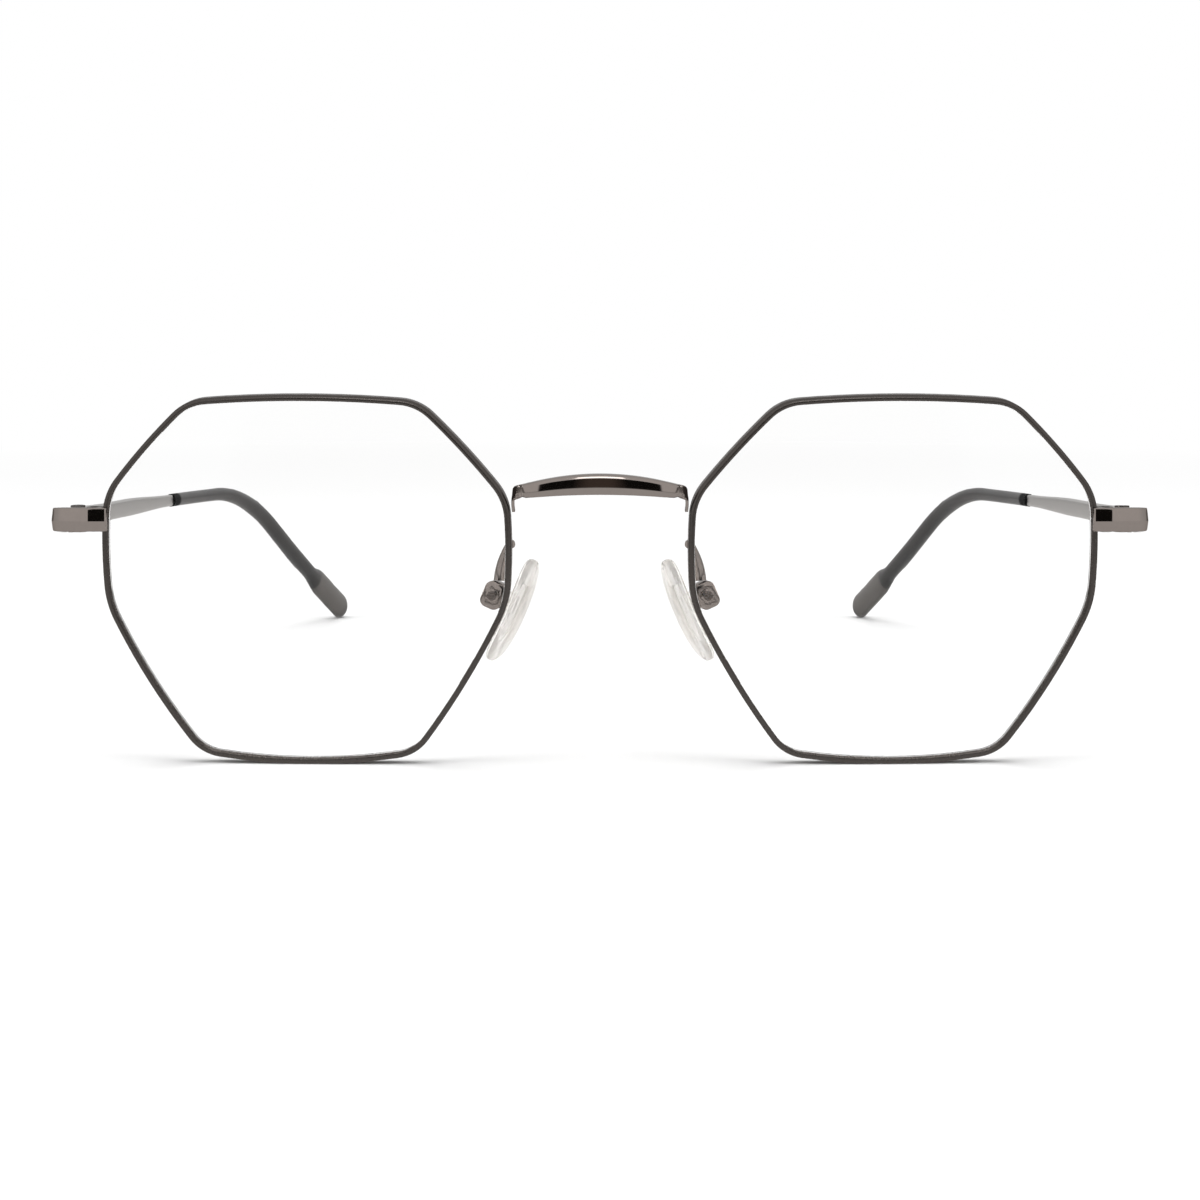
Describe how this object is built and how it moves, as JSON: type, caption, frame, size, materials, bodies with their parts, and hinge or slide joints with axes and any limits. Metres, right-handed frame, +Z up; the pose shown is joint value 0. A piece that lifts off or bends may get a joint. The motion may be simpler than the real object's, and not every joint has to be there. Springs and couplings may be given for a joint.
{
  "type": "eyeglasses",
  "caption": "Full-rim metal eyeglasses with eight-sided rims, clear lenses, adjustable nose pads and folding temples with sleeved tips.",
  "frame": {"origin": "middle of the open glasses' footprint, on the table that the rim bottoms and the temple tips rest on", "axes": "+Z up from the table, -Y is where the front of the glasses faces, +Y runs back along the temples, +X is the wearer's left"},
  "size_m": [0.1362, 0.143, 0.0462],
  "materials": {
    "gunmetal": "dark satin plating with fine polished crown",
    "polished": "polished warm gunmetal plating",
    "temple_metal": "satin grey metal",
    "steel": "bright turned steel",
    "lens": "clear polished demonstration lens",
    "sleeve": "dark grey translucent acetate",
    "clear_core": "clear stiff plastic core of the pad",
    "silicone": "clear soft silicone"
  },
  "bodies": {
    "front": {"bridge": "polished", "left_rim": "gunmetal", "right_rim": "gunmetal", "left_lens": "lens", "right_lens": "lens", "left_endpiece": "polished", "right_endpiece": "polished", "left_rim_lock_upper": "gunmetal", "right_rim_lock_upper": "gunmetal", "left_rim_lock_lower": "gunmetal", "right_rim_lock_lower": "gunmetal", "left_rim_lock_screw": "steel", "right_rim_lock_screw": "steel", "left_hinge_front_leaf": "polished", "right_hinge_front_leaf": "polished", "left_hinge_screw": "gunmetal", "right_hinge_screw": "gunmetal", "left_pad_arm": "polished", "right_pad_arm": "polished", "left_pad_box": "polished", "right_pad_box": "polished", "left_pad_screw": "polished", "right_pad_screw": "polished"},
    "left_temple": {"left_temple": "temple_metal", "left_temple_tip": "sleeve", "left_hinge_temple_leaf": "steel"},
    "right_temple": {"right_temple": "temple_metal", "right_temple_tip": "sleeve", "right_hinge_temple_leaf": "steel"},
    "left_nose_pad": {"left_nose_pad": "silicone", "left_pad_insert": "clear_core"},
    "right_nose_pad": {"right_nose_pad": "silicone", "right_pad_insert": "clear_core"}
  },
  "joints": [
    {"name": "left_temple_fold", "type": "hinge", "parent": "front", "child": "left_temple", "pos_m": [0.06587, -0.05933, 0.02977], "axis": [0, 0.0478, 0.9989], "range_deg": [0, 83]},
    {"name": "right_temple_fold", "type": "hinge", "parent": "front", "child": "right_temple", "pos_m": [-0.06587, -0.05933, 0.02977], "axis": [0, -0.0478, -0.9989], "range_deg": [0, 79]},
    {"name": "left_pad_rock", "type": "hinge", "parent": "front", "child": "left_nose_pad", "pos_m": [0.0133, -0.06124, 0.02063], "axis": [-0.1914, 0.9807, -0.0392], "range_deg": [-8, 8]},
    {"name": "right_pad_rock", "type": "hinge", "parent": "front", "child": "right_nose_pad", "pos_m": [-0.0133, -0.06124, 0.02063], "axis": [-0.1914, -0.9807, 0.0392], "range_deg": [-8, 8]}
  ]
}
